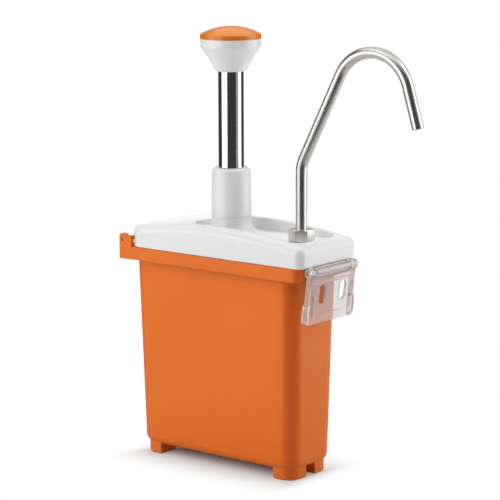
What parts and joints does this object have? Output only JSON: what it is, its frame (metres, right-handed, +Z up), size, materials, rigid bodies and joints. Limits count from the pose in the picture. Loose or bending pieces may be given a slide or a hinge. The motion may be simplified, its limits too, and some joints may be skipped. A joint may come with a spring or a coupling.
{
  "type": "sauce pump dispenser",
  "caption": "Tapered plastic container with a hinged, latched lid that carries a spring-return hand pump and a bent steel spout for dispensing sauce.",
  "frame": {"origin": "middle of the whole object's box, on the surface that its four feet stand on", "axes": "+X along the container's length towards the spout, +Y across it, +Z up"},
  "size_m": [0.3656, 0.1002, 0.4749],
  "materials": {
    "orange_plastic": "satin moulded polypropylene",
    "cap_plastic": "smooth moulded plastic",
    "white_plastic": "smooth moulded plastic",
    "bright_steel": "polished stainless tube",
    "brushed_steel": "drawn stainless tube with a fine grain along it",
    "pin_steel": "turned steel",
    "spring_steel": "stainless wire and balls",
    "clear_plastic": "clear polycarbonate",
    "natural_plastic": "natural moulded plastic",
    "seal_rubber": "white silicone"
  },
  "bodies": {
    "container": {"container": "orange_plastic", "lid_hinge_pin": "pin_steel"},
    "plunger": {"plunger_tube": "bright_steel", "plunger_plug": "pin_steel", "knob": "white_plastic", "knob_screw": "pin_steel", "knob_cap": "cap_plastic", "piston": "natural_plastic", "piston_seals": "seal_rubber", "piston_pin": "pin_steel"},
    "latch": {"latch_clip": "clear_plastic"},
    "inlet_valve": {"inlet_ball": "spring_steel"},
    "outlet_valve": {"outlet_ball": "spring_steel"},
    "lid": {"lid": "white_plastic", "pump_tower": "white_plastic", "spout_tube": "brushed_steel", "spout_nut": "brushed_steel", "spout_washer": "brushed_steel", "latch_pin": "pin_steel", "outlet_ball_pin": "pin_steel", "spout_ferrule": "pin_steel", "return_spring": "spring_steel", "pump_cylinder": "natural_plastic", "foot_valve": "natural_plastic", "inlet_ball_stop": "natural_plastic", "pickup_tube": "natural_plastic", "strainer": "natural_plastic", "discharge_tube": "natural_plastic", "spout_fitting": "natural_plastic", "guide_bush": "natural_plastic", "lid_gasket": "seal_rubber", "cylinder_gasket": "seal_rubber", "fitting_gasket": "seal_rubber", "tower_wiper": "seal_rubber"}
  },
  "joints": [
    {"name": "lid_hinge", "type": "hinge", "parent": "container", "child": "lid", "pos_m": [-0.17733, 0, 0.24], "axis": [0, -1, 0], "range_deg": [0, 95]},
    {"name": "pump_stroke", "type": "slide", "parent": "lid", "child": "plunger", "axis": [0, 0, -1], "range_m": [0, 0.07], "stiffness_N_per_m": 300, "springref_m": -0.04, "deforming": ["return_spring"]},
    {"name": "latch_hinge", "type": "hinge", "parent": "lid", "child": "latch", "pos_m": [0.06967, 0, 0.2283], "axis": [0, -1, 0], "range_deg": [0, 110]},
    {"name": "inlet_lift", "type": "slide", "parent": "lid", "child": "inlet_valve", "axis": [0, 0, 1], "range_m": [0, 0.004]},
    {"name": "outlet_lift", "type": "slide", "parent": "lid", "child": "outlet_valve", "axis": [0, 0, 1], "range_m": [0, 0.004]}
  ]
}
